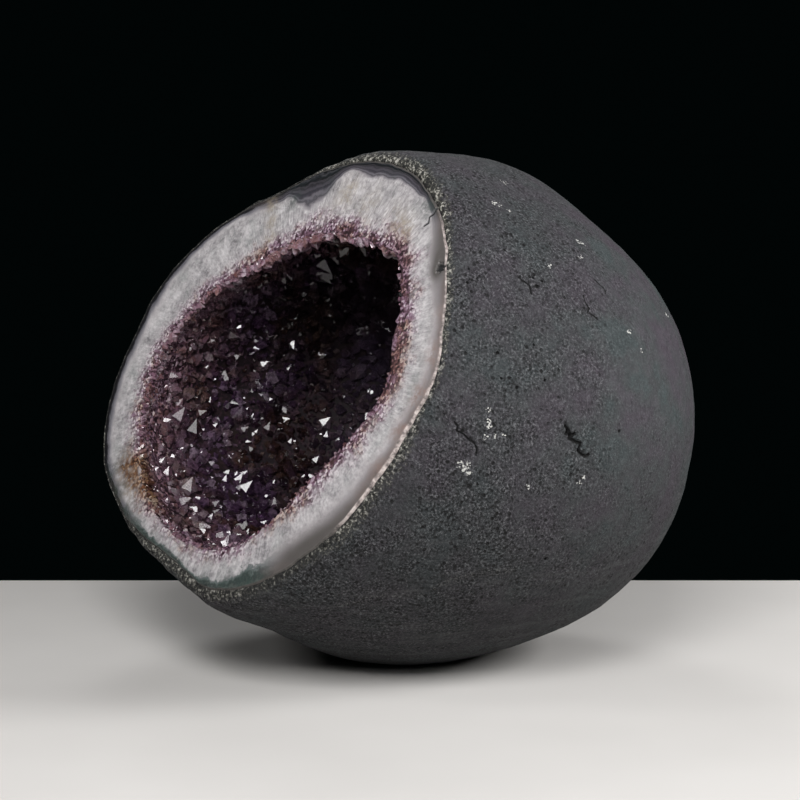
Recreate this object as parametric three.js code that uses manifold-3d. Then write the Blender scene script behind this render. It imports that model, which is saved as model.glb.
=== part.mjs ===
// Half of an amethyst geode, sawn open and coated with dark mortar behind the cut.
// Millimetres, +Z up, the floor at z = 0. The cut face looks towards -Y and leans back.
import * as THREE from 'three';
import { mergeVertices } from 'three/addons/utils/BufferGeometryUtils.js';
import Module from 'manifold-3d';

const wasm = await Module();
wasm.setup();

// The whole stone, before it was sawn, is close to an ellipsoid lying on its side.
const BODY_CENTRE = new THREE.Vector3(-3, -17, 164);
const BODY_HALF = { long: 200, short: 178, tall: 171 };
const BODY_YAW = 42;

// The saw cut: how far it passes from the centre, and how far it leans back from upright.
const FACE_DISTANCE = 104;
const FACE_TILT = 25;

// Swells and hollows of the outside: compass angle, height angle, height in mm, width in degrees.
const LUMPS = [
  [49, 66, 7, 18],
  [49, 45, -3, 18],
  [49, -5, -2, 25],
  [49, -35, 7, 25],
  [49, -65, -4, 25],
  [229, -48, -18, 22],
  [150, 20, 6, 30],
  [120, -20, -5, 25],
  [195, 30, 5, 25],
  [82, -68, 7, 20],
];

// Outlines on the cut face, as the distance from its middle every 15 degrees, from +X upwards.
const COAT_RIM = [
  146, 143, 145, 150, 153, 149, 142, 134, 132, 139, 152, 165,
  172, 180, 180, 171, 163, 159, 163, 161, 154, 149, 144, 143,
];
const STONE_RIM = [
  141, 138, 139, 142, 143, 140, 135, 127, 125, 132, 145, 158,
  165, 174, 173, 162, 153, 149, 154, 153, 147, 143, 138, 137,
];
const CAVITY_RIM = [
  107, 104, 106, 108, 98, 91, 90, 87, 87, 91, 102, 118,
  134, 143, 145, 145, 142, 139, 134, 123, 109, 102, 102, 106,
];

// How thick each layer is behind the face.
const COAT_THICKNESS = 6;
const COAT_EXTRA_AT_BASE = 8;
const BASE_EXTRA_WIDTH = 22;
const WALL_DEPTH = 40;
const CRUST_THICKNESS = 6;
const GAP = 0.3;
const EDGE_CHAMFER = 2.5;

// How far behind the rim, in degrees, each surface still follows its outline on the face.
const OUTSIDE_FADE = 20;
const CAVITY_FADE = 50;

// The facets: steps around, and rings from the rim to the back of each surface.
const AROUND = 48;
const OUTSIDE_RINGS = 12;
const INTERFACE_RINGS = 9;
const CAVITY_RINGS = 8;

// The crystals: their number grows with the detail, and each is a six-sided point in a lining.
const CRYSTAL_DETAIL = 8;
const CRYSTAL_HEIGHT = 13;
const CRYSTAL_UNEVEN = 0.7;
const CRYSTAL_SHIFT = 0.045;
const RIM_STUNTING = 5;

const degrees = THREE.MathUtils.degToRad;
const faceNormal = new THREE.Vector3(0, -Math.cos(degrees(FACE_TILT)), Math.sin(degrees(FACE_TILT)));
const faceRight = new THREE.Vector3(1, 0, 0);
const faceUp = new THREE.Vector3().crossVectors(faceNormal, faceRight);

// A repeatable value from 0 to 1 for each whole number.
function chance(index) {
  const wave = Math.sin(index * 12.9898 + 4.1414) * 43758.5453;
  return wave - Math.floor(wave);
}

function compassDirection(compass, height) {
  return new THREE.Vector3(
    Math.cos(degrees(compass)) * Math.cos(degrees(height)),
    Math.sin(degrees(compass)) * Math.cos(degrees(height)),
    Math.sin(degrees(height)),
  );
}

// A bump of height 1 around one direction, falling off over its width.
function bump(direction, middle, width) {
  return Math.exp((direction.dot(middle) - 1) / (1 - Math.cos(degrees(width))));
}

// The distance from the centre to the outside of the whole stone in one direction.
function wholeRadius(direction) {
  const yaw = degrees(BODY_YAW);
  const along = (direction.x * Math.cos(yaw) + direction.y * Math.sin(yaw)) / BODY_HALF.long;
  const across = (direction.y * Math.cos(yaw) - direction.x * Math.sin(yaw)) / BODY_HALF.short;
  const up = direction.z / BODY_HALF.tall;
  let radius = 1 / Math.hypot(along, across, up);
  for (const [compass, height, rise, width] of LUMPS) {
    radius += rise * bump(direction, compassDirection(compass, height), width);
  }
  return radius;
}

// The direction at an angle away from the face's normal, turned around it.
function faceDirection(away, turn) {
  const side = new THREE.Vector3()
    .addScaledVector(faceRight, Math.cos(turn))
    .addScaledVector(faceUp, Math.sin(turn));
  return new THREE.Vector3()
    .addScaledVector(faceNormal, Math.cos(away))
    .addScaledVector(side, Math.sin(away));
}

// A smooth closed outline through evenly turned distances.
function rimDistance(rim, turn) {
  const count = rim.length;
  const place = (((turn / (2 * Math.PI)) % 1) + 1) % 1 * count;
  const start = Math.floor(place) % count;
  const t = place - Math.floor(place);
  const [before, from, to, after] = [-1, 0, 1, 2].map((step) => rim[(start + step + count) % count]);
  const bend = 2 * before - 5 * from + 4 * to - after;
  const twist = 3 * from - before - 3 * to + after;
  return 0.5 * (2 * from + (to - before) * t + bend * t * t + twist * t * t * t);
}

// Where one direction meets a layer's outline on the face: its angle away from the face's
// normal, its distance from the centre, and how far behind it the direction lies.
function rimAt(layer, direction) {
  const turn = Math.atan2(direction.dot(faceUp), direction.dot(faceRight));
  const rho = rimDistance(layer.rim, turn) - layer.inset;
  const away = Math.atan2(rho, FACE_DISTANCE);
  const behind = Math.acos(THREE.MathUtils.clamp(direction.dot(faceNormal), -1, 1)) - away;
  return { turn, away, radius: Math.hypot(rho, FACE_DISTANCE), behind };
}

// How far a layer's surface is from the centre in one direction: it keeps its depth below
// the outside, and near the cut it meets its outline on the face.
function layerRadius(layer, direction) {
  const rim = rimAt(layer, direction);
  const match = rim.radius / (wholeRadius(faceDirection(rim.away, rim.turn)) - layer.depth);
  const hold = 1 - THREE.MathUtils.smoothstep(rim.behind, 0, degrees(layer.fade));
  const extra = layer.base * bump(direction, new THREE.Vector3(0, 0, -1), BASE_EXTRA_WIDTH);
  return (wholeRadius(direction) - layer.depth) * (1 + (match - 1) * hold) - extra;
}

// The rings of points on one layer's surface, from the rim to the point at the back.
function layerRings(layer, rings, start = 0) {
  const rows = [];
  for (let ring = 0; ring <= rings; ring += 1) {
    const row = [];
    const points = ring === rings ? 1 : AROUND;
    for (let step = 0; step < points; step += 1) {
      const turn = (step / AROUND) * 2 * Math.PI;
      const rimRho = rimDistance(layer.rim, turn) - layer.inset;
      const first = Math.atan2(rimRho, FACE_DISTANCE) + start / Math.hypot(rimRho, FACE_DISTANCE);
      const direction = faceDirection(first + (Math.PI - first) * (ring / rings), turn);
      row.push(direction.multiplyScalar(layerRadius(layer, direction)));
    }
    rows.push(row);
  }
  return rows;
}

// A ring lying in the plane of the cut, inside an outline by a margin.
function faceRing(rim, margin) {
  const row = [];
  for (let step = 0; step < AROUND; step += 1) {
    const turn = (step / AROUND) * 2 * Math.PI;
    const rho = rimDistance(rim, turn) - margin;
    row.push(faceDirection(Math.atan2(rho, FACE_DISTANCE), turn).multiplyScalar(Math.hypot(rho, FACE_DISTANCE)));
  }
  return row;
}

// One closed body whose rows of points run from one end point to the other. Each four-sided
// patch is folded along its outer diagonal, so that layers that face each other fold alike.
function closedBody(rows) {
  const points = rows.flat();
  const index = [];
  let start = 0;
  for (let row = 0; row + 1 < rows.length; row += 1) {
    const [here, next] = [rows[row].length, rows[row + 1].length];
    for (let step = 0; step < AROUND; step += 1) {
      const a = start + (step % here);
      const b = start + ((step + 1) % here);
      const c = start + here + (step % next);
      const d = start + here + ((step + 1) % next);
      const foldAD = points[a].clone().add(points[d]).length() > points[b].clone().add(points[c]).length();
      if (a !== b) index.push(a, b, foldAD ? d : c);
      if (c !== d) index.push(foldAD ? a : b, d, c);
    }
    start += here;
  }
  const geometry = new THREE.BufferGeometry().setFromPoints(points);
  geometry.setIndex(index);
  return geometry;
}

function toSolid(geometry) {
  const bare = geometry.clone();
  bare.deleteAttribute('normal');
  bare.deleteAttribute('uv');
  const merged = mergeVertices(bare, 1e-4);
  return new wasm.Manifold(new wasm.Mesh({
    numProp: 3,
    vertProperties: new Float32Array(merged.attributes.position.array),
    triVerts: new Uint32Array(merged.index.array),
  }));
}

function toGeometry(solid) {
  const mesh = solid.getMesh();
  const geometry = new THREE.BufferGeometry();
  geometry.setAttribute('position', new THREE.Float32BufferAttribute(mesh.vertProperties, 3));
  geometry.setIndex(new THREE.Uint32BufferAttribute(mesh.triVerts, 1));
  geometry.computeVertexNormals();
  return geometry;
}

const outside = { rim: COAT_RIM, inset: 0, depth: 0, base: 0, fade: OUTSIDE_FADE };
const coatInside = {
  rim: STONE_RIM, inset: 0, depth: COAT_THICKNESS, base: COAT_EXTRA_AT_BASE, fade: OUTSIDE_FADE,
};
const stoneOutside = { ...coatInside, inset: GAP, depth: COAT_THICKNESS + GAP };
const cavity = { rim: CAVITY_RIM, inset: 0, depth: WALL_DEPTH, base: 0, fade: CAVITY_FADE };
const crustOutside = { ...cavity, inset: GAP, depth: WALL_DEPTH + GAP };
const crustInside = {
  ...cavity, inset: GAP + CRUST_THICKNESS, depth: WALL_DEPTH + GAP + CRUST_THICKNESS,
};

// The block of space below the floor, which leaves the coat its flat resting face.
function belowFloor() {
  const size = 2 * BODY_HALF.long;
  const block = new THREE.BoxGeometry(size, size, size);
  block.translate(0, 0, -BODY_CENTRE.z - size / 2);
  return toSolid(block);
}

// The mortar skin: the outside, a chamfered edge, the ring on the face and the inside.
function coatGeometry() {
  const outer = layerRings(outside, OUTSIDE_RINGS, EDGE_CHAMFER);
  const inner = layerRings(coatInside, INTERFACE_RINGS);
  const rows = [...outer.reverse(), faceRing(COAT_RIM, EDGE_CHAMFER), ...inner];
  return toGeometry(toSolid(closedBody(rows)).subtract(belowFloor()));
}

// The agate and white quartz wall: its outside, the polished face and the cavity's surface.
function wallGeometry() {
  const outer = layerRings(stoneOutside, INTERFACE_RINGS);
  const inner = layerRings(cavity, CAVITY_RINGS);
  return toGeometry(toSolid(closedBody([...outer.reverse(), ...inner])));
}

// The points of a ball split evenly: crystals stand at them, their corners between them.
function crystalLattice() {
  const ball = new THREE.IcosahedronGeometry(1, CRYSTAL_DETAIL);
  ball.deleteAttribute('normal');
  ball.deleteAttribute('uv');
  const merged = mergeVertices(ball, 1e-4);
  const place = merged.attributes.position;
  const tips = [];
  for (let i = 0; i < place.count; i += 1) tips.push(new THREE.Vector3().fromBufferAttribute(place, i));
  const faces = [];
  for (let i = 0; i < merged.index.count; i += 3) {
    faces.push([merged.index.getX(i), merged.index.getX(i + 1), merged.index.getX(i + 2)]);
  }
  return { tips, faces };
}

// A direction moved a little to one side, so that no two crystals are alike.
function shifted(direction, seed, amount) {
  const push = new THREE.Vector3(chance(seed) - 0.5, chance(seed + 0.3) - 0.5, chance(seed + 0.6) - 0.5);
  return direction.clone().addScaledVector(push, 2 * amount).normalize();
}

// The open space inside the crust: each crystal is a dent in it with six flat sides.
function hollowBody() {
  const { tips, faces } = crystalLattice();
  const points = [];
  tips.forEach((tip, i) => {
    const direction = shifted(tip, i + 0.5, CRYSTAL_SHIFT);
    const grown = THREE.MathUtils.smoothstep(rimAt(crustInside, direction).behind, 0, degrees(RIM_STUNTING));
    const height = CRYSTAL_HEIGHT * grown * (1 - CRYSTAL_UNEVEN / 2 + CRYSTAL_UNEVEN * chance(i));
    points.push(direction.clone().multiplyScalar(layerRadius(crustInside, direction) - height));
  });
  faces.forEach(([a, b, c], i) => {
    const middle = tips[a].clone().add(tips[b]).add(tips[c]).normalize();
    const direction = shifted(middle, i + 2000.5, CRYSTAL_SHIFT / 2);
    points.push(direction.clone().multiplyScalar(layerRadius(crustInside, direction)));
  });
  const index = [];
  const corners = new Map();
  faces.forEach((face, i) => {
    face.forEach((from, side) => corners.set(`${from},${face[(side + 1) % 3]}`, tips.length + i));
  });
  for (const [edge, left] of corners) {
    const [from, to] = edge.split(',').map(Number);
    index.push(from, corners.get(`${to},${from}`), left);
  }
  const geometry = new THREE.BufferGeometry().setFromPoints(points);
  geometry.setIndex(index);
  return geometry;
}

// The crystal crust: what is left between the wall's hollow and the open space.
function crustGeometry() {
  const faceCentre = faceNormal.clone().multiplyScalar(FACE_DISTANCE);
  const filled = closedBody([...layerRings(crustOutside, CAVITY_RINGS).reverse(), [faceCentre]]);
  return toGeometry(toSolid(filled).subtract(toSolid(hollowBody())));
}

function piece(name, geometry, colour, roughness) {
  const material = new THREE.MeshStandardMaterial({ color: colour, roughness, metalness: 0, flatShading: true });
  const mesh = new THREE.Mesh(geometry, material);
  mesh.name = name;
  return mesh;
}

const geode = new THREE.Group();
geode.position.copy(BODY_CENTRE);
geode.add(piece('mortar_coat', coatGeometry(), 0x4b4d50, 0.95));
geode.add(piece('quartz_wall', wallGeometry(), 0xc8c5c6, 0.25));
geode.add(piece('amethyst_crust', crustGeometry(), 0x4a2a5c, 0.15));

export default geode;
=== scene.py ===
# Half of an amethyst geode: sawn open, polished on the cut, skimmed with dark mortar behind it.
# Metres, +Z up, the floor at z = 0. The cut face looks towards -Y and leans back.
import math

import bpy
import numpy as np
from bpy.props import FloatProperty, FloatVectorProperty, PointerProperty
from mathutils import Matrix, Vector


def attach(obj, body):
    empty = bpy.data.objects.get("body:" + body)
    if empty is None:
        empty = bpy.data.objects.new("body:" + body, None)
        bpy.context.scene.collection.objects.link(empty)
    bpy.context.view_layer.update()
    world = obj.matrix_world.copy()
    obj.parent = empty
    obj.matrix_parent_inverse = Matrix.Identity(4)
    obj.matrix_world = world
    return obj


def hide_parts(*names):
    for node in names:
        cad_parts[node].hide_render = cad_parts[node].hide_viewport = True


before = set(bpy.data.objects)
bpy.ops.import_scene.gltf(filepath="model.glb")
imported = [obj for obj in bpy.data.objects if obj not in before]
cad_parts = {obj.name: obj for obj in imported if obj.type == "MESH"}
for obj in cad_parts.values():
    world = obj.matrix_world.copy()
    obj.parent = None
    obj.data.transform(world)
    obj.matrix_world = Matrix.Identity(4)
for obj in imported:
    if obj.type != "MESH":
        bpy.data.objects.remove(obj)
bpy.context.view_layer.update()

bl_info = {
    "name": "Amethyst geode half",
    "version": (1, 0, 0),
    "blender": (4, 5, 0),
    "location": "View3D > Sidebar > Geode",
    "description": "Makes a sawn geode half with its mortar coat, agate and quartz wall and crystals",
    "category": "Add Mesh",
}

MM = 0.001
MERGE_DISTANCE = 0.005 * MM

# The stone's form, in millimetres and degrees, the same values as the solids are made from.
BODY_CENTRE = np.array([-3.0, -17.0, 164.0])
BODY_LONG, BODY_SHORT, BODY_TALL = 200, 178, 171
BODY_YAW = 42
FACE_DISTANCE = 104
FACE_TILT = 25

# Swells and hollows of the outside: compass angle, height angle, height in mm, width in degrees.
LUMPS = [
    (49, 66, 7, 18), (49, 45, -3, 18), (49, -5, -2, 25), (49, -35, 7, 25), (49, -65, -4, 25),
    (229, -48, -18, 22), (150, 20, 6, 30), (120, -20, -5, 25), (195, 30, 5, 25), (82, -68, 7, 20),
]

# Outlines on the cut face, as the distance from its middle every 15 degrees, from +X upwards.
COAT_RIM = [
    146, 143, 145, 150, 153, 149, 142, 134, 132, 139, 152, 165,
    172, 180, 180, 171, 163, 159, 163, 161, 154, 149, 144, 143,
]
# Where the polished stone meets the mortar: close to the outside on the left of the face.
STONE_EDGE = [
    141, 138, 139, 142, 143, 140, 135, 130, 129, 137, 150, 163,
    170, 178, 178, 168, 156, 150, 155, 153, 147, 143, 138, 137,
]
CAVITY_RIM = [
    107, 104, 106, 108, 98, 91, 90, 87, 87, 91, 102, 118,
    134, 143, 145, 145, 142, 139, 134, 123, 109, 102, 102, 106,
]

# Where the agate's bands end and the white quartz starts, with the lobes where bands dip into
# it: turn in degrees from +X upwards, distance from the middle of the face.
QUARTZ_EDGE = [
    (0, 133), (15, 130), (24, 127), (33, 126), (40, 130), (46, 135), (53, 139), (59, 135), (67, 134),
    (73, 130), (78, 126), (82, 127), (87, 130), (92, 128), (95, 122), (98, 110), (104, 105), (110, 107),
    (114, 118), (120, 121), (127, 121), (137, 133), (150, 143), (165, 154), (180, 160), (195, 169),
    (210, 170), (220, 163), (229, 157), (234, 154), (242, 151), (249, 146), (257, 146), (262, 150),
    (268, 149), (274, 149), (279, 145), (285, 140), (289, 138), (300, 131), (315, 127), (330, 125),
    (345, 128),
]

# How finely each body's grid is divided: around the stone, and along its main surface.
COAT_GRID, WALL_GRID, LINING_GRID = (480, 168), (480, 34), (720, 60)

COAT_THICKNESS = 6
COAT_EXTRA_AT_BASE = 8
BASE_EXTRA_WIDTH = 22
WALL_DEPTH = 40
CRUST_THICKNESS = 6
# How many degrees behind the face the forms of its outlines fade out.
OUTSIDE_FADE = 20
CAVITY_FADE = 50

FACE_NORMAL = np.array([0, -math.cos(math.radians(FACE_TILT)), math.sin(math.radians(FACE_TILT))])
FACE_RIGHT = np.array([1.0, 0, 0])
FACE_UP = np.cross(FACE_NORMAL, FACE_RIGHT)


# Directions, outlines and surfaces, in millimetres from the body's centre.

def ramp(value, low, high):
    """0 below low, 1 above high, and a smooth step between them."""
    share = np.clip((value - low) / (high - low), 0, 1)
    return share * share * (3 - 2 * share)


def arc_share(turn, start, end, blur=7):
    """1 for the turns between two angles in degrees, and 0 outside them, with soft ends."""
    middle, half = (start + end) / 2, (end - start) / 2
    gap = np.abs(np.mod(np.degrees(turn) - middle + 180, 360) - 180)
    return 1 - ramp(gap, half - blur, half + blur)


def unit(vectors):
    return vectors / np.linalg.norm(vectors, axis=-1, keepdims=True)


def compass_direction(compass, height):
    compass, height = math.radians(compass), math.radians(height)
    level = math.cos(height)
    return np.array([math.cos(compass) * level, math.sin(compass) * level, math.sin(height)])


def bump(direction, middle, width):
    """A bump of height 1 around one direction, falling off over its width."""
    return np.exp((direction @ middle - 1) / (1 - math.cos(math.radians(width))))


def whole_radius(direction):
    """The distance from the centre to the outside of the whole stone, before it was sawn."""
    yaw = math.radians(BODY_YAW)
    x, y, z = direction[..., 0], direction[..., 1], direction[..., 2]
    along = (x * math.cos(yaw) + y * math.sin(yaw)) / BODY_LONG
    across = (y * math.cos(yaw) - x * math.sin(yaw)) / BODY_SHORT
    radius = 1 / np.sqrt(along ** 2 + across ** 2 + (z / BODY_TALL) ** 2)
    for compass, height, rise, width in LUMPS:
        radius = radius + rise * bump(direction, compass_direction(compass, height), width)
    return radius


def turn_of(directions):
    """The turn around the face's normal, from +X upwards, at which directions or points lie."""
    return np.arctan2(directions @ FACE_UP, directions @ FACE_RIGHT)


def falling(gap, width, power=2):
    """1 at no distance and less further away, over that width; a high power gives a firm edge."""
    return np.exp(-(gap / width) ** power)


def face_direction(away, turn):
    """The direction at an angle away from the face's normal, turned around it."""
    away, turn = np.asarray(away)[..., None], np.asarray(turn)[..., None]
    side = FACE_RIGHT * np.cos(turn) + FACE_UP * np.sin(turn)
    return FACE_NORMAL * np.cos(away) + side * np.sin(away)


def rim_distance(rim, turn):
    """A smooth closed outline through evenly turned distances."""
    rim = np.asarray(rim, float)
    place = np.mod(np.asarray(turn) / (2 * math.pi), 1) * len(rim)
    start = np.floor(place).astype(int)
    t = place - start
    before, here, there, after = (rim[(start + step) % len(rim)] for step in (-1, 0, 1, 2))
    bend = 2 * before - 5 * here + 4 * there - after
    twist = 3 * here - before - 3 * there + after
    return 0.5 * (2 * here + (there - before) * t + bend * t * t + twist * t ** 3)


def waver(turn, height, seed):
    """A small unevenness of an outline, as waves of several lengths at random phases."""
    chance = np.random.default_rng(seed)
    waves = [(count, chance.uniform(0, 2 * math.pi)) for count in (11, 17, 26, 37, 53, 71, 97)]
    return height * sum(np.sin(count * turn + phase) / count ** 0.5 for count, phase in waves)


class Layer:
    """One surface of the stone: its outline on the face, and its depth below the outside."""

    def __init__(self, rim, inset=0.0, depth=0.0, base=0.0, fade=OUTSIDE_FADE, uneven=0.0):
        self.rim, self.inset, self.depth, self.base, self.fade = rim, inset, depth, base, fade
        self.uneven = uneven

    def rho(self, turn):
        return rim_distance(self.rim, turn) - self.inset + waver(turn, self.uneven, 3)

    def behind(self, direction):
        """How many degrees behind the outline on the face a direction lies."""
        turn = turn_of(direction)
        away = np.arccos(np.clip(direction @ FACE_NORMAL, -1, 1))
        return np.degrees(away - np.arctan2(self.rho(turn), FACE_DISTANCE))

    def radius(self, direction):
        turn = turn_of(direction)
        rho = self.rho(turn)
        edge = face_direction(np.arctan2(rho, FACE_DISTANCE), turn)
        match = np.hypot(rho, FACE_DISTANCE) / (whole_radius(edge) - self.depth)
        hold = 1 - ramp(self.behind(direction), 0, self.fade)
        extra = self.base * bump(direction, np.array([0, 0, -1.0]), BASE_EXTRA_WIDTH)
        return (whole_radius(direction) - self.depth) * (1 + (match - 1) * hold) - extra

    def point(self, away, turn):
        direction = face_direction(away, turn)
        return direction * self.radius(direction)[..., None]

    def row(self, turns, share, start=0.0):
        """Points all around: share 0 is start mm behind the outline, share 1 the back pole."""
        rho = self.rho(turns)
        first = np.arctan2(rho, FACE_DISTANCE) + start / np.hypot(rho, FACE_DISTANCE)
        return self.point(first + (math.pi - first) * share, turns)


def on_face(rho, turn, below=0.0):
    """Points in the plane of the cut, or that far behind it."""
    rho, turn, below = np.broadcast_arrays(rho, turn, below)
    side = FACE_RIGHT * np.cos(turn)[..., None] + FACE_UP * np.sin(turn)[..., None]
    return FACE_NORMAL * (FACE_DISTANCE - below)[..., None] + side * rho[..., None]


OUTSIDE = Layer(COAT_RIM)
COAT_OUTSIDE = Layer(COAT_RIM, 0.8, 0.6, uneven=0.9)
COAT_INSIDE = Layer(STONE_EDGE, 0.4, COAT_THICKNESS, COAT_EXTRA_AT_BASE, uneven=0.9)
STONE_OUTSIDE = Layer(STONE_EDGE, 0.5, COAT_THICKNESS + 0.1, COAT_EXTRA_AT_BASE, uneven=0.9)
CAVITY = Layer(CAVITY_RIM, 0, WALL_DEPTH, 0, CAVITY_FADE)
CRUST_OUTSIDE = Layer(CAVITY_RIM, 0.1, WALL_DEPTH + 0.1, 0, CAVITY_FADE)
CRUST_INSIDE = Layer(CAVITY_RIM, CRUST_THICKNESS, WALL_DEPTH + CRUST_THICKNESS, 0, CAVITY_FADE)


# Small tools for meshes, attributes and materials.

def deselect_all():
    if bpy.context.object and bpy.context.object.mode != "OBJECT":
        bpy.ops.object.mode_set(mode="OBJECT")
    bpy.ops.object.select_all(action="DESELECT")


def read_vectors(items, key):
    flat = np.empty(len(items) * 3)
    items.foreach_get(key, flat)
    return flat.reshape(-1, 3)


def read_points(obj):
    return read_vectors(obj.data.vertices, "co") / MM - BODY_CENTRE


def write_points(obj, points):
    obj.data.vertices.foreach_set("co", ((points + BODY_CENTRE) * MM).ravel())
    obj.data.update()


def store(obj, name, values):
    """Keeps one number or one vector for each point of the mesh, for the material to read."""
    values = np.asarray(values, np.float32)
    kind, key = ("FLOAT", "value") if values.ndim == 1 else ("FLOAT_VECTOR", "vector")
    layer = obj.data.attributes.new(name, kind, "POINT")
    layer.data.foreach_set(key, values.ravel())


def body_of_rows(name, rows):
    """A closed body: a grid whose rows of points are wrapped round the stone, from the outer
    back pole to the inner one, and then merged where its edges meet."""
    around = max(len(row) for row in rows)
    deselect_all()
    bpy.ops.mesh.primitive_grid_add(x_subdivisions=around, y_subdivisions=len(rows) - 1, size=1,
                                    calc_uvs=False)
    obj = bpy.context.object
    obj.name = obj.data.name = name
    x, y = read_vectors(obj.data.vertices, "co")[:, :2].T + 0.5
    row = np.rint(y * (len(rows) - 1)).astype(int)
    step = np.rint(x * around).astype(int) % around
    table = np.array([np.broadcast_to(points, (around, 3)) for points in rows])
    write_points(obj, table[row, step])
    bpy.ops.object.mode_set(mode="EDIT")
    bpy.ops.mesh.select_all(action="SELECT")
    bpy.ops.mesh.remove_doubles(threshold=MERGE_DISTANCE)
    bpy.ops.mesh.normals_make_consistent(inside=False)
    bpy.ops.object.mode_set(mode="OBJECT")
    bpy.ops.object.shade_smooth()
    return obj


def all_turns(around):
    return np.arange(around) / around * 2 * math.pi


def add_modifier(obj, kind, **settings):
    """Adds a modifier with its settings and applies it."""
    bpy.context.view_layer.objects.active = obj
    modifier = obj.modifiers.new(kind.title(), kind)
    for name, value in settings.items():
        setattr(modifier, name, value)
    bpy.ops.object.modifier_apply(modifier=modifier.name)


def clouds(name, size_mm):
    texture = bpy.data.textures.new(name, "CLOUDS")
    texture.noise_scale = size_mm * MM
    texture.noise_depth = 2
    return texture


def linear(colour):
    """An sRGB hex value as the linear colour that a shader reads."""
    parts = [int(colour[i:i + 2], 16) / 255 for i in (1, 3, 5)]
    return [p / 12.92 if p <= 0.04045 else ((p + 0.055) / 1.055) ** 2.4 for p in parts] + [1.0]


def add_node(tree, kind, inputs=None, output=None, stops=None, **settings):
    """Adds a node with its settings, values and links, and returns one of its output sockets. A
    mix is one of colours unless its settings say otherwise."""
    node = tree.nodes.new("ShaderNode" + kind)
    if kind == "Mix":
        node.data_type = "RGBA"
    for name, value in settings.items():
        setattr(node, name, value)
    for key, value in (inputs or {}).items():
        found = [s for s in node.inputs if s.enabled and s.name == key] if isinstance(key, str) else []
        socket = found[0] if found else node.inputs[key]
        if isinstance(value, bpy.types.NodeSocket):
            tree.links.new(value, socket)
        else:
            socket.default_value = linear(value) if isinstance(value, str) else value
    for place, (position, colour) in enumerate(stops or []):
        points = node.color_ramp.elements
        point = points[place] if place < 2 else points.new(position)
        point.position = position
        point.color = linear(colour)
    if not node.outputs:
        return node
    return node.outputs[output] if output else next(s for s in node.outputs if s.enabled)


def new_material(name):
    """An empty material, its tree and the place of each point in metres."""
    material = bpy.data.materials.new(name)
    material.use_nodes = True
    tree = material.node_tree
    tree.nodes.clear()
    return material, tree, add_node(tree, "TexCoord", output="Object")


def stored(tree, *names):
    """The numbers that the mesh keeps for each of its points, under those names."""
    return [add_node(tree, "Attribute", output="Fac", attribute_name=name) for name in names]


def repeats(size_mm):
    """The scale that makes a pattern's features that wide."""
    return 1 / (size_mm * MM)


def patches(tree, place, size_mm, detail, roughness, low, high, start=0.0, end=1.0):
    """Uneven patches of that size: start where a noise is low, end where it is high."""
    noise = add_node(tree, "TexNoise", {
        "Vector": place, "Scale": repeats(size_mm), "Detail": detail, "Roughness": roughness})
    return add_node(tree, "MapRange", {
        "Value": noise, "From Min": low, "From Max": high, "To Min": start, "To Max": end})


def mottled(tree, place, size_mm, detail, roughness, stops):
    """Uneven patches of that size, in the colours of the stops."""
    noise = add_node(tree, "TexNoise", {
        "Vector": place, "Scale": repeats(size_mm), "Detail": detail, "Roughness": roughness})
    return add_node(tree, "ValToRGB", {"Fac": noise}, stops=stops)


def grain_shades(tree, place, size_mm):
    """One random shade for each grain of that size."""
    grains = add_node(tree, "TexVoronoi", {"Vector": place, "Scale": repeats(size_mm)}, output="Color")
    return add_node(tree, "RGBToBW", {"Color": grains})


def paint_over(tree, under, colour, pattern, low, high, most=1.0, least=0.0, held=None):
    """Lays a colour over another: from least where the pattern is low to most where it is high,
    and held back where the last value is low."""
    share = add_node(tree, "MapRange", {
        "Value": pattern, "From Min": low, "From Max": high, "To Min": least, "To Max": most})
    if held:
        share = add_node(tree, "Math", {0: share, 1: held}, operation="MULTIPLY")
    return add_node(tree, "Mix", {"Factor": share, "A": under, "B": colour})


def finish_piece(obj, node, material):
    obj.data.materials.clear()
    obj.data.materials.append(material)
    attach(obj, "root")
    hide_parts(node)


# The mortar coat.

# Marks on the skin, each point a compass angle from +X and a height angle seen from the centre.
CRACKS = [
    [(-7.4, 4.1), (-6.8, 3.1), (-6.4, 2.2), (-6.8, 1.7), (-5.7, 1.2), (-5.1, 0.8), (-4.2, 0.7),
     (-4.4, 0.0), (-4.8, -0.7), (-4.1, -1.4), (-3.2, -2.0), (-2.3, -1.7)],
    [(-6.4, 2.2), (-5.5, 2.5)],
    [(-6.8, 3.1), (-7.4, 2.6)],
]
FINE_CRACKS = [
    [(-29.8, 6.0), (-29.1, 5.1), (-29.4, 4.3), (-28.1, 3.7), (-27.2, 2.7), (-26.0, 1.9), (-25.5, 0.8),
     (-25.6, -0.5)],
    [(4.5, 28.7), (4.1, 27.2), (4.2, 25.9), (3.4, 25.1), (4.5, 24.4), (5.4, 23.5)],
    [(10.5, 31.6), (11.2, 30.4), (12.1, 29.4), (11.5, 28.3)],
    [(-11.1, 34.4), (-10.0, 33.4), (-8.9, 32.2), (-9.2, 30.4)],
]
PITS = [
    (-7, 32, 1.6), (-5, 33, 1.3), (-7, 34, 1.2), (-20, 19, 1.2), (-20, 14, 1.0), (-17, 12, 1.3),
    (-12, 20, 1.0), (-11, 13, 1.1), (-8, -23, 1.3), (-24, 34, 1.2), (-23, 37, 1.0), (5, 2, 1.1),
]
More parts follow.
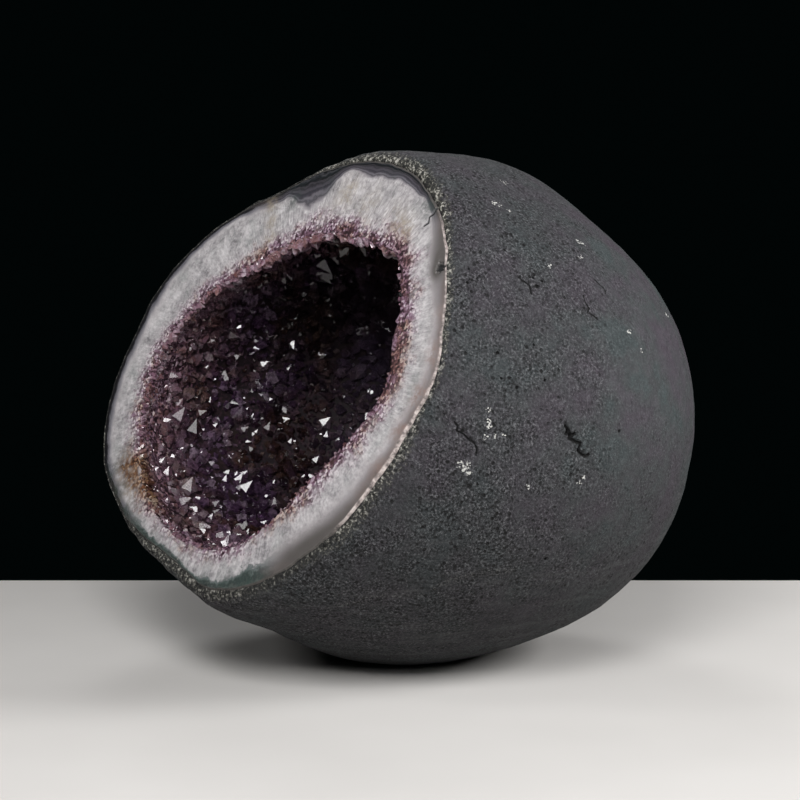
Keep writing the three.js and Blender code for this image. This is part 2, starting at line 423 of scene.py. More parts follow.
CHIPS = [
    (-6, 53, 2.0), (12, 61, 1.6), (-2, 51, 1.0), (-1, 36, 1.0), (11, 37, 1.2), (15, 41, 1.2),
    (16, 40, 0.9), (13, 20, 1.1), (35, 21, 1.2), (15, 16, 1.0), (-23, 8, 1.2), (-23, 6, 0.9),
    (-23, 5, 1.1), (-24, 3, 1.3), (-22, 3, 1.0), (-20, 3, 0.9), (-29, -2, 1.3), (-28, -3, 1.5),
    (-27, -4, 1.2), (-27, -2, 1.0), (-4, -7, 1.0), (-3, -6, 0.9), (-15, -7, 1.0),
]
# How deep the outer skin reaches that the trowel shaped, in mm.
SKIN_DEPTH = 3.5
# Two pale strokes of a trowel that picked up dry mortar.
STROKES = [
    [(-32.7, -29.7), (-29.1, -27.8), (-24.9, -26.3), (-19.9, -25.5), (-14.9, -25.2)],
    [(-57.2, -35.1), (-47.2, -32.5), (-35.6, -31.4)],
]


def onto(layer, directions):
    """The points of a surface in those directions."""
    return directions * layer.radius(directions)[:, None]


def surface_line(layer, marks, step=0.5):
    """Points every half millimetre along a line of marks on a surface."""
    spots = onto(layer, np.array([compass_direction(c, h) for c, h in marks]))
    line = []
    for start, end in zip(spots[:-1], spots[1:]):
        count = max(2, int(np.linalg.norm(end - start) / step))
        line.extend(start + (end - start) * t for t in np.linspace(0, 1, count, endpoint=False))
    line.append(spots[-1])
    return onto(layer, unit(np.array(line)))


def distance_to(points, spots, reach):
    """The distance of each point to the nearest spot, and reach where that is further."""
    nearest = np.full(len(points), float(reach))
    low, high = spots.min(0) - reach, spots.max(0) + reach
    near = np.flatnonzero(((points > low) & (points < high)).all(1))
    if len(near):
        gap = np.linalg.norm(points[near][:, None] - spots[None], axis=2).min(1)
        nearest[near] = np.minimum(gap, reach)
    return nearest


def coat_rows(around, back_rows, shoulder):
    turns = all_turns(around)
    rows = [COAT_OUTSIDE.row(turns, share, shoulder) for share in np.linspace(1, 0, back_rows)]
    top = rows[-1]
    lower = 1.3 * lowered(turns)
    corner = on_face(COAT_OUTSIDE.rho(turns), turns, 0.4 + lower)
    inner = COAT_INSIDE.rho(turns)
    ring = on_face(np.maximum(COAT_OUTSIDE.rho(turns) - shoulder, inner + 1), turns, 0.6 + lower)
    for t in np.linspace(0, 1, 7)[1:]:
        rows.append(top * (1 - t) ** 2 + corner * 2 * t * (1 - t) + ring * t * t)
    drop = joint_drop(turns)
    edge = COAT_INSIDE.row(turns, 0, drop)
    for t in (0.5, 1.0):
        rows.append(ring * (1 - t) + edge * t)
    rows += [COAT_INSIDE.row(turns, share, 0) for share in np.linspace(0.03, 1, 9)]
    return rows


def lowered(turn):
    """1 at the right of the face, low down, where the mortar stands back most from the cut."""
    return falling(np.mod(turn + math.pi, 2 * math.pi) - math.pi + 0.35, 0.42)


def joint_drop(turn):
    """How far behind the face the mortar stops, in mm, which bares a line of the stone's side."""
    uneven = 0.5 * np.sin(9 * turn + 1) + 0.35 * np.sin(23 * turn) + 0.25 * np.sin(41 * turn + 2)
    return np.clip(1.1 + 2.4 * lowered(turn) + 0.6 * uneven, 0.5, 4)


def refine_near(obj, spots, reach, cuts):
    """Splits the faces near a list of spots, so that a small mark has points to shape it."""
    centres = read_vectors(obj.data.polygons, "center") / MM - BODY_CENTRE
    near = distance_to(centres, spots, reach * 2) < reach
    deselect_all()
    obj.select_set(True)
    bpy.context.view_layer.objects.active = obj
    bpy.ops.object.mode_set(mode="EDIT")
    bpy.ops.mesh.select_mode(type="FACE")
    bpy.ops.mesh.select_all(action="DESELECT")
    bpy.ops.object.mode_set(mode="OBJECT")
    obj.data.polygons.foreach_set("select", near)
    bpy.ops.object.mode_set(mode="EDIT")
    bpy.ops.mesh.subdivide(number_cuts=cuts)
    bpy.ops.object.mode_set(mode="OBJECT")


def mortar_material(settings):
    """Sand and cement mortar, trowelled on damp: dull grey, with sand grains and pinholes, purplish
    and grey-green clouds where the cement dried unevenly, and painted shade towards the foot."""
    material, tree, place = new_material("sand_cement_mortar_trowelled")
    from_rim, coarse, stroke, pale_edge, chip, crack = stored(
        tree, "from_rim", "coarse", "stroke", "pale_edge", "chip", "crack")
    height = add_node(tree, "SeparateXYZ", {"Vector": place}, output="Z")

    body = mottled(tree, place, 41.667, 5.0, 0.6, [
        (0.38, "#453c46"), (0.47, "#403e43"), (0.54, "#3d4142"), (0.62, "#394545")])
    patch = mottled(tree, place, 6.6667, 4.0, 0.7, [
        (0.34, "#27262a"), (0.50, "#363639"), (0.68, "#454548")])
    body = paint_over(tree, body, patch, coarse, 0.0, 1.0, 0.68, least=0.30)

    # Dark and light sand grains. The same noise is the height of the bump, so this colour also
    # paints shade in its dips and highlights on its tops.
    grain = add_node(tree, "TexNoise", {
        "Vector": place, "Scale": repeats(1.5625), "Detail": 3.0, "Roughness": 0.75})
    thick = patches(tree, place, 23.810, 5.0, 0.7, 0.38, 0.62, 0.35, 1.2)
    thick = add_node(tree, "Math", {0: thick, 1: coarse}, operation="MULTIPLY")
    body = paint_over(tree, body, "#0e0e0f", grain, 0.51, 0.40, held=thick)
    body = paint_over(tree, body, "#77777a", grain, 0.55, 0.68, 0.75, held=thick)

    # Pinholes, in some of the cells of a grainy pattern: dents in the bump, made near black with painted
    # shade.
    chosen = grain_shades(tree, place, 4.0)
    chosen = add_node(tree, "MapRange", {"Value": chosen, "From Min": 0.50, "From Max": 0.56})
    chosen = add_node(tree, "Math", {0: chosen, 1: thick}, operation="MULTIPLY")
    holes = add_node(tree, "TexVoronoi", {"Vector": place, "Scale": repeats(4.0)})
    holes = add_node(tree, "MapRange", {"Value": holes, "From Min": 0.34, "From Max": 0.20})
    holes = add_node(tree, "Math", {0: holes, 1: chosen}, operation="MULTIPLY")
    body = add_node(tree, "Mix", {"Factor": holes, "A": body, "B": "#0b0b0c"})

    # Level trowel drags near the foot, and two pale strokes.
    level = add_node(tree, "Mapping", {
        "Vector": place, "Rotation": (0.16, 0.0, 0.0), "Scale": (18, 18, 210)})
    drag = add_node(tree, "TexNoise", {"Vector": level, "Scale": 1.0, "Detail": 5.0, "Roughness": 0.7})
    low = add_node(tree, "MapRange", {"Value": height, "From Min": 0.16, "From Max": 0.03})
    body = paint_over(tree, body, "#59595a", drag, 0.53, 0.68, 0.55, held=low)
    body = paint_over(tree, body, "#141414", drag, 0.45, 0.32, 0.6, held=low)
    body = paint_over(tree, body, "#6f6e6b", grain, 0.48, 0.60, 0.5, held=stroke)

    # The chipped edge at the cut, pale in some places and dull in others.
    wander = patches(tree, place, 3.3333, 3.0, 0.7, 0.0, 1.0, -5.0, 5.0)
    edge = add_node(tree, "Math", {0: from_rim, 1: wander}, operation="ADD")
    crumbs = add_node(tree, "TexNoise", {
        "Vector": place, "Scale": repeats(2.3256), "Detail": 3.0, "Roughness": 0.75})
    pale = add_node(tree, "ValToRGB", {"Fac": crumbs}, stops=[
        (0.38, "#141413"), (0.48, "#33332f"), (0.55, "#6a685f"), (0.61, "#cfccc3")])
    dull = add_node(tree, "ValToRGB", {"Fac": crumbs}, stops=[
        (0.38, "#141413"), (0.50, "#2b2b29"), (0.58, "#4c4b46"), (0.66, "#93918a")])
    crumbs = add_node(tree, "Mix", {"Factor": pale_edge, "A": dull, "B": pale})
    body = paint_over(tree, body, crumbs, edge, 8.0, 3.0, 0.85)

    bits = grain_shades(tree, place, 0.90909)
    chip = add_node(tree, "Math", {0: chip, 1: bits}, operation="SUBTRACT")
    body = paint_over(tree, body, "#c6c5c1", chip, 0.0, 0.10)
    # Cracks and pits, made near black with painted shade, torn at their edges.
    torn = add_node(tree, "TexNoise", {
        "Vector": place, "Scale": repeats(1.9231), "Detail": 3.0, "Roughness": 0.7})
    crack = add_node(tree, "Math", {0: crack, 1: torn}, operation="SUBTRACT")
    body = paint_over(tree, body, "#060607", crack, 0.0, 0.12)
    # Painted shade: the colour darkens from 0.17 m above the floor down to the foot.
    body = paint_over(tree, body, "#0c0c0d", height, 0.17, 0.0, 0.50)

    body = add_node(tree, "Mix", {"Factor": 1.0, "A": body, "B": (*settings.tint, 1)},
                    blend_type="MULTIPLY")
    rise = add_node(tree, "Math", {0: grain, 1: holes}, operation="SUBTRACT")
    strength = add_node(tree, "MapRange", {"Value": coarse, "To Min": 0.35, "To Max": 0.95})
    relief = add_node(tree, "Bump", {"Strength": strength, "Distance": 0.0016, "Height": rise})
    surface = add_node(tree, "BsdfPrincipled", {
        "Base Color": body, "Roughness": 0.85, "Specular IOR Level": 0.3, "Normal": relief})
    add_node(tree, "OutputMaterial", {"Surface": surface})
    return material


def make_coat(settings):
    coat = body_of_rows("mortar_skim_coat", coat_rows(*COAT_GRID, settings.shoulder / MM))
    cracks = [surface_line(COAT_OUTSIDE, marks) for marks in CRACKS]
    fine = [surface_line(COAT_OUTSIDE, marks) for marks in FINE_CRACKS]
    spots = onto(COAT_OUTSIDE, np.array([compass_direction(c, h) for c, h, _ in PITS + CHIPS]))
    refine_near(coat, np.concatenate(cracks + fine + [spots]), 4.0, 3)

    skin = read_points(coat)
    outer = np.flatnonzero(OUTSIDE.radius(unit(skin)) - np.linalg.norm(skin, axis=1) < SKIN_DEPTH)
    group = coat.vertex_groups.new(name="skin")
    group.add(outer.tolist(), 1.0, "REPLACE")
    for name, size, height in (("trowel_waves", 45, settings.wave_height),
                               ("trowel_drags", 11, settings.lump_height)):
        add_modifier(coat, "DISPLACE", texture=clouds(name, size), texture_coords="LOCAL",
                     mid_level=1.0, strength=height, vertex_group="skin")

    # How deep the marks go and how dark they are; the darkness of the cracks and pits is painted shade in
    # their dents.
    skin, normals = read_points(coat), read_vectors(coat.data.vertices, "normal")
    direction = unit(skin)
    bare = onto(COAT_OUTSIDE, direction)
    push, dark, stroke, chip = np.zeros((4, len(skin)))
    for line in cracks:
        gap = distance_to(bare, line, 6) + waver(np.arctan2(bare[:, 2], bare[:, 1]) * 9, 0.18, 8)
        dark += 1.25 * falling(gap, 1.15)
        push += 2.2 * falling(gap, 1.1)
    for line in fine:
        gap = distance_to(bare, line, 5)
        dark += 0.85 * falling(gap, 0.9)
        push += 1.0 * falling(gap, 0.8)
    for spot, (_, _, radius) in zip(spots, PITS):
        pit = falling(distance_to(bare, spot[None], 8), radius, 4)
        dark += pit
        push += 1.5 * pit
    for marks in STROKES:
        stroke += falling(distance_to(bare, surface_line(COAT_OUTSIDE, marks, 2), 12), 1.8)
    for spot, (_, _, radius) in zip(spots[len(PITS):], CHIPS):
        chip += 0.52 * falling(distance_to(bare, spot[None], 12), 1.9 * radius)
    push -= 0.12 * stroke
    push[np.linalg.norm(skin - bare, axis=1) > 4] = 0
    skin = skin - normals * push[:, None]
    skin[:, 2] = np.maximum(skin[:, 2], -BODY_CENTRE[2])
    write_points(coat, skin)

    from_rim = np.radians(Layer(STONE_EDGE).behind(direction)) * np.linalg.norm(skin, axis=1)
    turn = turn_of(direction)
    low = ramp(-skin[:, 2], -40, 110)
    narrow = 1 + 0.6 * arc_share(turn, -12, 42) - 0.25 * arc_share(turn, -52, -14)
    pale = 0.9 * arc_share(turn, 38, 105) + 0.5 * arc_share(turn, -50, 38)
    store(coat, "from_rim", from_rim * narrow)
    store(coat, "coarse", np.clip(0.25 + 0.65 * (1 - ramp(from_rim, 50, 170)) + 0.6 * low, 0, 1.3))
    store(coat, "pale_edge", np.maximum(pale, 0.6 * arc_share(turn, 200, 285)))
    store(coat, "crack", dark)
    store(coat, "chip", chip)
    store(coat, "stroke", stroke)
    finish_piece(coat, "mortar_coat", mortar_material(settings))


# The agate and quartz wall.

# Stains and tints on the polished face. Each spot: right and up from its middle in mm, radius
# in mm, strength.
FACE_SPOTS = {
    "iron": [(-128, -90, 9, 0.8), (-116, -93, 10, 1.0), (-104, -97, 11, 1.0), (-93, -101, 11, 1.0),
             (-82, -106, 10, 0.9), (-73, -112, 8, 0.6), (-110, -84, 9, 0.5), (73, 83, 8, 0.5),
             (84, 72, 6, 0.6), (60, 92, 6, 0.4), (-130, 0, 6, 0.3)],
    "tan": [(6, 116, 9, 0.35), (-5, 98, 9, 0.25), (31, 110, 9, 0.25), (58, 101, 9, 0.3), (25, 99, 10, 0.2),
            (69, 86, 9, 0.35), (-120, -80, 11, 0.3), (-69, 102, 6, 0.6), (-63, 90, 5, 0.7),
            (-57, 78, 6, 0.7), (70, 92, 9, 0.5), (4, 112, 8, 0.3), (-112, -100, 14, 0.5)],
    "celadonite": [(50, -141, 8, 0.7), (36, -146, 8, 0.8), (18, -150, 8, 0.6), (-6, -152, 7, 0.5),
                   (-32, -148, 8, 0.7), (-52, -145, 9, 0.7), (-72, -139, 9, 0.8), (-92, -132, 9, 0.8),
                   (-108, -122, 8, 0.7), (-124, -108, 7, 0.6), (-139, -95, 7, 0.6), (87, 107, 8, 0.6),
                   (-48, 108, 7, 0.6), (-14, 118, 8, 0.3), (44, 122, 9, 0.2)],
    "beige": [(132, 40, 9, 0.5), (137, 15, 9, 0.8), (136, -12, 9, 1.0), (131, -36, 9, 0.9),
              (122, -60, 8, 0.7), (114, -76, 7, 0.4)],
    "smoke": [(121, -78, 10, 0.6), (110, -94, 11, 0.9), (97, -107, 12, 1.0), (83, -117, 12, 1.0),
              (68, -126, 11, 0.8), (113, 68, 6, 0.8), (113, 77, 5, 0.8), (112, 90, 7, 0.5),
              (116, 62, 8, 0.5), (110, 76, 9, 0.5), (105, 88, 9, 0.5), (122, 46, 7, 0.3)],
}

# The chipped notch at the right of the face, with its radius, and the crack above it, in the same
# coordinates, and how deep each goes in mm.
FACE_NOTCH = (115, 69, 3.2)
FACE_CRACK = [(88, 95), (91, 97), (90, 101), (93, 103), (94, 107), (98, 109)]
NOTCH_DEPTH, FACE_CRACK_DEPTH = 2.2, 0.5
# The comb streaks run along a cylinder of this radius in mm, drawn out by the second value.
COMB_RADIUS, COMB_STRETCH = 140, 0.22


def druse_shift(turn):
    """How much deeper in mm the druse looks at each place on the rim: below zero where it is pale,
    at the top and the left, and above zero where it is dark, below and at the right. Partly the druse's
    own colour, and partly painted light on the left and painted shade at the bottom."""
    deeper = 28 * arc_share(turn, 232, 330) + 24 * arc_share(turn, -30, 60)
    return deeper - 22 * arc_share(turn, 64, 140) - 22 * arc_share(turn, 140, 225)


def druse_edge(turn):
    """How much narrower in mm the druse is on the sawn face at each place round the rim."""
    wide = 3.5 * arc_share(turn, -12, 62) + 2 * arc_share(turn, -50, -12) + 2 * arc_share(turn, 62, 140)
    return 4 * arc_share(turn, 232, 300) - wide


def spots_at(right, up, spots):
    total = np.zeros(len(right))
    for x, y, radius, strength in spots:
        total += strength * np.exp(-((right - x) ** 2 + (up - y) ** 2) / radius ** 2)
    return np.minimum(total, 1.0)


def quartz_edge(turn):
    """The distance from the middle at which the white quartz starts, softened between points."""
    turns, distances = np.array(QUARTZ_EDGE, float).T
    degrees = np.degrees(turn)
    softened = [np.interp(degrees + step, turns, distances, period=360) for step in (-2, -1, 0, 1, 2)]
    return np.mean(softened, axis=0) + 0.4 * np.sin(29 * turn) + 0.3 * np.sin(53 * turn + 1)


def comb_vectors(turn, inward):
    """Coordinates in which an even pattern comes out as streaks that point at the hollow."""
    across = COMB_RADIUS * np.stack([np.cos(turn), np.sin(turn)])
    return np.stack([*across, inward * COMB_STRETCH], 1) * MM


def wall_rows(around, face_rows):
    turns = all_turns(around)
    rows = [STONE_OUTSIDE.row(turns, share, 0) for share in np.linspace(1, 0.14, 8)]
    rows += [STONE_OUTSIDE.row(turns, 0, back) for back in (14, 9, 6, 4, 2.6, 1.6, 0.8)]
    outer, inner = STONE_OUTSIDE.rho(turns), CAVITY.rho(turns)
    rows.append(on_face(outer - 0.15, turns, 0.3))
    for t in np.linspace(0, 1, face_rows):
        rows.append(on_face(outer - 0.5 + (inner + 0.6 - outer) * t, turns, 0.05))
    rows.append(on_face(inner, turns, 0.1))
    rows += [CAVITY.row(turns, share, 0) for share in np.linspace(0.04, 1, 9)]
    return rows


def wall_material(settings):
    """Agate and milky quartz, sawn and polished: dark grey bands with thin pale lines at the top, a
    black glassy skin at the left, green celadonite below and plain grey at the right, and then
    cloudy white quartz with combs of fine streaks that point at the hollow."""
    material, tree, place = new_material("agate_and_milky_quartz_polished")
    comb = add_node(tree, "Attribute", output="Vector", attribute_name="comb")
    druse, side, agate_share, in_bands, in_glassy, in_ragged = stored(
        tree, "druse", "side", "agate", "banded", "glassy", "ragged")
    middle, bare, chipped, white_low, white_high = stored(
        tree, "middle", "bare", "chipped", "white_low", "white_high")

    # The agate, in the order of its bands from the outside inwards.
    wander = patches(tree, place, 13.333, 5.0, 0.62, 0.0, 1.0, -0.34, 0.34)
    band = add_node(tree, "Math", {0: agate_share, 1: wander}, operation="ADD")
    ragged = patches(tree, place, 5.8824, 6.0, 0.7, 0.0, 1.0, -1.3, 1.3)
    ragged = add_node(tree, "Math", {0: ragged, 1: in_ragged, 2: band}, operation="MULTIPLY_ADD")
    agate = add_node(tree, "ValToRGB", {"Fac": band}, stops=[
        (0.00, "#5c5352"), (0.18, "#6f6664"), (0.45, "#858082"), (0.75, "#9b9698"), (1.00, "#b1abad")])
    banded = add_node(tree, "ValToRGB", {"Fac": band}, stops=[
        (0.00, "#0f1113"), (0.08, "#24282b"), (0.16, "#15171a"), (0.32, "#29272c"), (0.40, "#4b484f"),
        (0.50, "#302e35"), (0.62, "#403d45"), (0.72, "#6b686e"), (0.80, "#48464c"), (0.90, "#8b868b"),
        (1.00, "#a09b9e")])
    thin = add_node(tree, "Math", {0: band, 1: 30.0}, operation="MULTIPLY")
    thin = add_node(tree, "Math", {0: thin}, operation="SINE")
    banded = paint_over(tree, banded, "#868188", thin, 0.3, 1.0, 0.15)
    glassy = add_node(tree, "ValToRGB", {"Fac": band}, stops=[
        (0.00, "#2b2a2c"), (0.08, "#141417"), (0.30, "#1f1f23"), (0.42, "#5f5e64"), (0.70, "#807d83"),
        (1.00, "#b3aeb0")])
    green = add_node(tree, "ValToRGB", {"Fac": ragged}, stops=[
        (0.00, "#2a2c2b"), (0.20, "#5a605d"), (0.35, "#242a2a"), (0.55, "#3f4846"), (0.72, "#6f7775"),
        (0.84, "#50585a"), (1.00, "#a3a2a1")])
    for share, kind in ((in_bands, banded), (in_glassy, glassy), (in_ragged, green)):
        agate = add_node(tree, "Mix", {"Factor": share, "A": agate, "B": kind})

    # The white quartz: clouds, clearer grey parts, comb streaks, and bright flecks that are painted sparkle
    # highlights.
    cloud = add_node(tree, "TexNoise", {
        "Vector": place, "Scale": repeats(14.286), "Detail": 7.0, "Roughness": 0.75})
    quartz = add_node(tree, "ValToRGB", {"Fac": cloud}, stops=[
        (0.38, "#5d5b5e"), (0.46, "#838082"), (0.53, "#a5a0a2"), (0.64, "#d9d6d6")])
    fine = mottled(tree, place, 2.6316, 3.0, 0.7, [(0.40, "#706d70"), (0.60, "#dedadb")])
    quartz = add_node(tree, "Mix", {"Factor": 0.38, "A": quartz, "B": fine})
    quartz = paint_over(tree, quartz, "#d0cdce", cloud, 0.38, 0.60, 0.6, held=middle)
    clear = patches(tree, place, 29.412, 6.0, 0.68, 0.50, 0.64, end=0.7)
    quartz = add_node(tree, "Mix", {"Factor": clear, "A": quartz, "B": "#858a88"})
    streaks = mottled(tree, comb, 1.6129, 5.0, 0.8, [
        (0.36, "#605c61"), (0.50, "#a39ea1"), (0.64, "#e4e0e1")])
    combed = add_node(tree, "MapRange", {
        "Value": druse, "From Min": 36.0, "From Max": 3.0, "To Min": 0.15, "To Max": 0.85})
    combed = add_node(tree, "Math", {0: combed, 1: cloud}, operation="MULTIPLY")
    combed = add_node(tree, "Math", {0: in_bands, 1: 0.25, 2: combed}, operation="MULTIPLY_ADD")
    quartz = add_node(tree, "Mix", {"Factor": combed, "A": quartz, "B": streaks})
    # Painted highlights: small bright sparkles in the combs near the hollow.
    painted_sparkles = grain_shades(tree, place, 2.3256)
    quartz = paint_over(tree, quartz, "#f4f1f1", painted_sparkles, 0.72, 0.78, 0.5, held=combed)
    colour = paint_over(tree, agate, quartz, ragged, white_low, white_high)

    # Stains, then the druse, the bare side of the stone, and the chip and crack, made near black with
    # painted shade.
    patchy = patches(tree, place, 4.7619, 5.0, 0.7, 0.38, 0.60)
    even = add_node(tree, "MapRange", {"Value": patchy, "To Min": 0.1, "To Max": 1.3})
    rusty_dots = mottled(tree, place, 2.3810, 4.0, 0.75, [
        (0.38, "#231914"), (0.48, "#54392b"), (0.57, "#745741"), (0.66, "#a8967e")])
    stains = {"tan": "#978b77", "iron": rusty_dots, "celadonite": "#36433f", "beige": "#83716b"}
    for share, stain in zip(stored(tree, *stains), stains.values()):
        share = add_node(tree, "Math", {0: share, 1: even}, operation="MULTIPLY")
        colour = add_node(tree, "Mix", {"Factor": share, "A": colour, "B": stain})
    smoke, = stored(tree, "smoke")
    colour = add_node(tree, "Mix", {"Factor": smoke, "A": colour, "B": "#55514f"})
    colour = druse_over(tree, colour, druse, place, comb)
    rind = add_node(tree, "ValToRGB", {"Fac": patchy}, stops=[
        (0.0, "#625b59"), (0.5, "#9b908d"), (1.0, "#c6bbb7")])
    rind = add_node(tree, "Mix", {"Factor": bare, "A": "#3a3835", "B": rind})
    colour = add_node(tree, "Mix", {"Factor": side, "A": colour, "B": rind})
    # Painted shade in the notch and the crack of the face.
    colour = add_node(tree, "Mix", {"Factor": chipped, "A": colour, "B": "#131314"})
    colour = add_node(tree, "Mix", {"Factor": 1.0, "A": colour, "B": (*settings.tint, 1)},
                      blend_type="MULTIPLY")

    rough = add_node(tree, "Math", {0: side, 1: chipped}, operation="MAXIMUM")
    gloss = add_node(tree, "MapRange", {"Value": rough, "To Min": 0.32, "To Max": 0.9})
    relief = add_node(tree, "Bump", {"Strength": 0.15, "Distance": 0.0003, "Height": patchy})
    surface = add_node(tree, "BsdfPrincipled", {
        "Base Color": colour, "Roughness": gloss, "IOR": 1.54, "Normal": relief,
        "Subsurface Weight": 0.35, "Subsurface Radius": (1.0, 0.9, 0.9),
        "Subsurface Scale": settings.milkiness})
    add_node(tree, "OutputMaterial", {"Surface": surface})
    return material


def druse_over(tree, under, distance, place, comb):
    """Sugary quartz where it turns to amethyst: grains of lilac, white and purple with rusty ones
    among them, by the distance in mm from the hollow, which is below zero inside it."""
    blots = patches(tree, place, 13.333, 7.0, 0.78, 0.0, 1.0, -22.0, 22.0)
    fibres = patches(tree, comb, 2.6316, 4.0, 0.75, 0.0, 1.0, -10.0, 10.0)
    reach = add_node(tree, "Math", {0: distance, 1: blots}, operation="ADD")
    reach = add_node(tree, "Math", {0: reach, 1: fibres}, operation="ADD")
    grain = grain_shades(tree, place, 1.5625)
    grain = add_node(tree, "MapRange", {
        "Value": grain, "From Min": 0.25, "From Max": 0.75, "To Min": -0.28, "To Max": 0.28})
    shade = add_node(tree, "MapRange", {"Value": reach, "From Min": -30.0, "From Max": 7.0, "To Max": 0.9})
    shade = add_node(tree, "Math", {0: shade, 1: grain}, operation="ADD")
    amethyst = add_node(tree, "ValToRGB", {"Fac": shade}, stops=[
        (0.10, "#150c11"), (0.42, "#38242d"), (0.62, "#5f4451"), (0.80, "#806678"), (0.95, "#a4919d"),
        (1.00, "#d3c8cd")])
    rust = add_node(tree, "ValToRGB", {"Fac": shade}, stops=[
        (0.35, "#1e120e"), (0.70, "#4e3122"), (0.88, "#73492f"), (1.00, "#a08670")])
    iron, = stored(tree, "iron")
    rusty = patches(tree, place, 23.810, 5.0, 0.75, 0.50, 0.60, end=0.7)
    rusty = add_node(tree, "Math", {0: rusty, 1: iron}, operation="MAXIMUM")
    amethyst = add_node(tree, "Mix", {"Factor": rusty, "A": amethyst, "B": rust})
    return paint_over(tree, under, amethyst, reach, 11.0, 0.0)


def make_wall(settings):
    wall = body_of_rows("agate_quartz_wall", wall_rows(*WALL_GRID))
    x, y = np.array(FACE_CRACK, float).T
    along = np.linspace(0, len(x) - 1, 60)
    x, y = np.interp(along, range(len(x)), x), np.interp(along, range(len(y)), y)
    crack = on_face(np.hypot(x, y), np.arctan2(y, x))
    right, up, radius = FACE_NOTCH
    notch = on_face(math.hypot(right, up), math.atan2(up, right))[None]
    refine_near(wall, np.concatenate([crack, notch]), 5.0, 3)
    points = read_points(wall)
    blocky = 0.5 * np.sin(points[:, 0] * 2.1) + 0.4 * np.sin(points[:, 2] * 2.9 + 1)
    in_notch = falling(distance_to(points, notch, 9) + blocky, radius, 6)
    in_crack = falling(distance_to(points, crack, 4), 0.75, 4)
    points = points - FACE_NORMAL * (NOTCH_DEPTH * in_notch + FACE_CRACK_DEPTH * in_crack)[:, None]
    write_points(wall, points)

    depth = FACE_DISTANCE - points @ FACE_NORMAL
    right, up = points @ FACE_RIGHT, points @ FACE_UP
    rho, turn = np.hypot(right, up), turn_of(points)
    stone, quartz, hollow = STONE_OUTSIDE.rho(turn), quartz_edge(turn), CAVITY.rho(turn)
    banded, ragged = arc_share(turn, 46, 128), arc_share(turn, 232, 292)
    soft = 1 - np.maximum(np.maximum(banded, ragged), 0.8 * arc_share(turn, 18, 48))
    across = (stone - rho) / (stone - hollow)
    shaded = 0.45 * arc_share(turn, -60, 40) + 0.2 * arc_share(turn, 250, 300)
    on_side = (depth > 0.2) & (rho > quartz) & (in_notch < 0.02) & (in_crack < 0.02)
    kept = {
        # The notch and the crack in the face, which the material paints near black as shade.
        "chipped": np.minimum(1.2 * in_notch + in_crack, 1),
        "agate": (stone - rho) / (stone - quartz),
        "banded": banded,
        "glassy": arc_share(turn, 128, 232),
        "ragged": ragged,
        "white_low": 0.93 - 0.35 * soft,
        "white_high": 1.04 + 0.5 * soft,
        "druse": rho - hollow + druse_edge(turn),
        "middle": falling(across - 0.48, 0.24) * (1 - shaded),
        "bare": np.maximum(arc_share(turn, -44, 46), 0.08),
        "side": on_side.astype(float),
        "comb": comb_vectors(turn, stone - rho),
    }
    for name, spots in FACE_SPOTS.items():
        kept[name] = spots_at(right, up, spots)
    for name, values in kept.items():
        store(wall, name, values)
    finish_piece(wall, "quartz_wall", wall_material(settings))


# The crystal crust.

def jagged(turn, teeth, seed):
    """A broken line from 0 to 1 round the face, with that many uneven teeth."""
    chance = np.random.default_rng(seed)
    at = np.sort(chance.uniform(0, 2 * math.pi, teeth))
    return np.interp(turn, at, chance.uniform(0, 1, teeth), period=2 * math.pi)


def ring_width(turn):
    """How wide the sawn, flat edge of the crust is on the face, jagged where crystals end."""
    teeth = 0.6 * jagged(turn, 150, 5) + 0.4 * jagged(turn, 380, 6)
    return np.clip(3.6 + 2.4 * np.cos(turn) - 5.0 * (teeth - 0.35), 0.6, 8)


def lining_rows(around, inner_rows):
    turns = all_turns(around)
    rows = [CRUST_OUTSIDE.row(turns, share, 0) for share in np.linspace(1, 0.04, 9)]
    outer = CRUST_OUTSIDE.rho(turns)
    width = ring_width(turns)
    rows += [on_face(outer - width * t, turns, 0.15) for t in (0, 0.25, 0.5, 0.75, 1.0)]
    edge = rows[-1]
    for share in np.linspace(0, 1, inner_rows):
        row = CRUST_INSIDE.row(turns, share, 0)
        blend = ramp(share, 0, 0.08)
        rows.append(edge * (1 - blend) + row * blend - FACE_NORMAL * 1.2 * (1 - blend))
    return rows


# The mean radius of the crystals' ball in mm, and the share of it that evenly spaced ones fill.
CRUST_RADIUS, PACKING = 128, 0.87
# How many degrees a quartz point's upper faces lean from its long axis.
POINT_LEAN = 51.8
# How many degrees an aimed crystal may lean from the way that it would grow by itself.
MOST_LEAN = 60
# How far behind the cut every crystal stays, in mm.
BEHIND_CUT = 0.3
# Where glints gather as the camera sees the stone, in mm to the right of and above its centre.
GLINTS_MIDDLE, GLINTS_SIZE = (-118, -34), (85, 66)
# The share of the glints that each soft box makes.
GLINT_LIGHTS = {"front_soft_box": 0.55, "left_soft_box": 0.2, "low_soft_box": 0.25}


